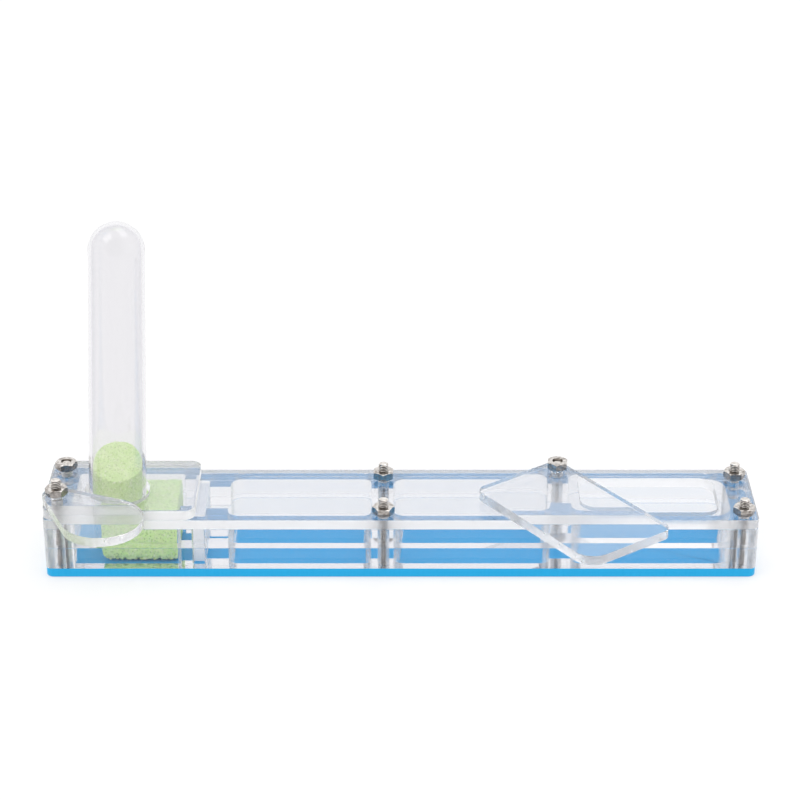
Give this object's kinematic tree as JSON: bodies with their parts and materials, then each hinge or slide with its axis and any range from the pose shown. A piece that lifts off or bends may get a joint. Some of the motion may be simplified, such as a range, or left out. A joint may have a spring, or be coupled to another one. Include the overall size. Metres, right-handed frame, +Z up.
{
  "type": "ant nest",
  "caption": "Clear layered acrylic ant nest on a blue base, with an upright water tube, sponge pad and two swinging covers.",
  "frame": {"origin": "centre of the base plate's underside, on the table", "axes": "+Z up through the stack, +X along the strip away from the water tube, -Y towards the viewing side"},
  "size_m": [0.2001, 0.055, 0.1021],
  "materials": {
    "blue_base": "glossy opaque acrylic",
    "clear_acrylic": "clear polished acrylic",
    "frosted_partition": "frosted, perforated",
    "green_sponge": "open-cell sponge",
    "pale_sponge": "open-cell sponge",
    "clear_tube": "clear moulded plastic",
    "stainless": "bright stainless steel"
  },
  "bodies": {
    "nest": {"base_plate": "blue_base", "lower_frame": "clear_acrylic", "upper_frame": "clear_acrylic", "top_plate": "clear_acrylic", "tube_holder_plate": "clear_acrylic", "humidity_partition": "frosted_partition", "humidity_sponge": "green_sponge", "screw_holder_back": "stainless", "screw_cover_pivot": "stainless", "screw_middle_back": "stainless", "screw_middle_front": "stainless", "screw_lid_pivot": "stainless", "screw_end_back": "stainless", "screw_end_front": "stainless", "nut_holder_back": "stainless", "nut_cover_pivot": "stainless", "nut_middle_back": "stainless", "nut_middle_front": "stainless", "nut_lid_pivot": "stainless", "nut_end_back": "stainless", "nut_end_front": "stainless"},
    "feeding_lid": {"feeding_lid": "clear_acrylic"},
    "tube_hole_cover": {"tube_hole_cover": "clear_acrylic"},
    "test_tube": {"test_tube": "clear_tube", "tube_sponge_plug": "pale_sponge"}
  },
  "joints": [
    {"name": "feeding_lid_swing", "type": "hinge", "parent": "nest", "child": "feeding_lid", "pos_m": [0.045, 0.0106, 0.0184], "axis": [0, 0, 1], "range_deg": [-62, 53.75]},
    {"name": "tube_cover_swing", "type": "hinge", "parent": "nest", "child": "tube_hole_cover", "pos_m": [-0.0961, -0.0106, 0.02135], "axis": [0, 0, 1], "range_deg": [-166, 6.5]},
    {"name": "test_tube_lift", "type": "slide", "parent": "nest", "child": "test_tube", "axis": [0.0462, 0, 0.9989], "range_m": [0, 0.035]}
  ]
}
